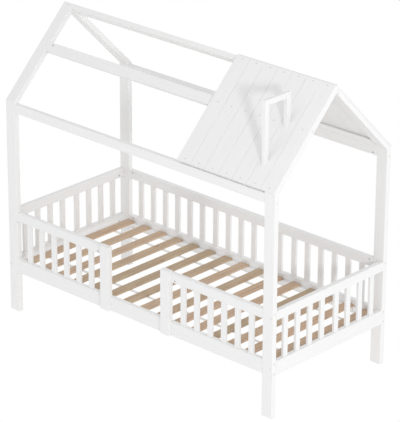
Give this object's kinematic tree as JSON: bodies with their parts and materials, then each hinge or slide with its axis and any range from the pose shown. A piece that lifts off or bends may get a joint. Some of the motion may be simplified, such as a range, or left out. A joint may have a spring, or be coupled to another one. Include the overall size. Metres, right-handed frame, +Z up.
{
  "type": "house-shaped child's bed",
  "caption": "House-framed child's bed with guard rails and an entry gap all round a slatted base, and a boarded half roof with a chimney frame.",
  "frame": {"origin": "floor level under the middle of the bed, halfway between the outer faces of the posts", "axes": "+X along the bed towards the end with the half roof, +Y from the entry side to the back, +Z up"},
  "size_m": [2.07, 0.9831, 1.807],
  "materials": {
    "white_lacquered_wood": "satin white paint",
    "bare_pine": "planed, uncoated",
    "beech": "uncoated",
    "webbing": "woven",
    "zinc_plated_steel": "zinc plated",
    "white_coated_steel": "white coated"
  },
  "bodies": {
    "bed_frame": {"front_left_post": "white_lacquered_wood", "front_right_post": "white_lacquered_wood", "rear_left_post": "white_lacquered_wood", "rear_right_post": "white_lacquered_wood", "front_left_rafter": "white_lacquered_wood", "front_right_rafter": "white_lacquered_wood", "rear_left_rafter": "white_lacquered_wood", "rear_right_rafter": "white_lacquered_wood", "ridge_board": "white_lacquered_wood", "front_purlin": "white_lacquered_wood", "front_eave_beam": "white_lacquered_wood", "rear_eave_beam": "white_lacquered_wood", "front_eave_batten": "white_lacquered_wood", "rear_eave_batten": "white_lacquered_wood", "front_roof_boards": "white_lacquered_wood", "rear_roof_boards": "white_lacquered_wood", "chimney_front_leg": "white_lacquered_wood", "chimney_rear_leg": "white_lacquered_wood", "chimney_top_bar": "white_lacquered_wood", "front_lower_rail": "white_lacquered_wood", "rear_lower_rail": "white_lacquered_wood", "left_end_lower_rail": "white_lacquered_wood", "right_end_lower_rail": "white_lacquered_wood", "front_left_top_rail": "white_lacquered_wood", "front_right_top_rail": "white_lacquered_wood", "rear_top_rail": "white_lacquered_wood", "left_end_top_rail": "white_lacquered_wood", "right_end_top_rail": "white_lacquered_wood", "left_entry_post": "white_lacquered_wood", "right_entry_post": "white_lacquered_wood", "front_left_balusters": "white_lacquered_wood", "front_right_balusters": "white_lacquered_wood", "rear_balusters": "white_lacquered_wood", "left_end_balusters": "white_lacquered_wood", "right_end_balusters": "white_lacquered_wood", "front_slat_ledge": "white_lacquered_wood", "rear_slat_ledge": "white_lacquered_wood", "side_rail_bolts": "white_coated_steel", "end_rail_bolts": "white_coated_steel", "entry_post_studs": "zinc_plated_steel", "roof_beam_bolts": "white_coated_steel", "rafter_joint_screws": "white_coated_steel", "barrel_nuts": "zinc_plated_steel", "ledge_screws": "zinc_plated_steel", "entry_post_screws": "zinc_plated_steel", "chimney_screws": "zinc_plated_steel", "roof_board_screws": "white_coated_steel", "dowels": "beech"},
    "slatted_base": {"slats": "bare_pine", "front_slat_strap": "webbing", "rear_slat_strap": "webbing"}
  },
  "joints": [
    {"name": "slatted_base_lift", "type": "slide", "parent": "bed_frame", "child": "slatted_base", "axis": [0, 0, 1], "range_m": [0, 0.35]}
  ]
}
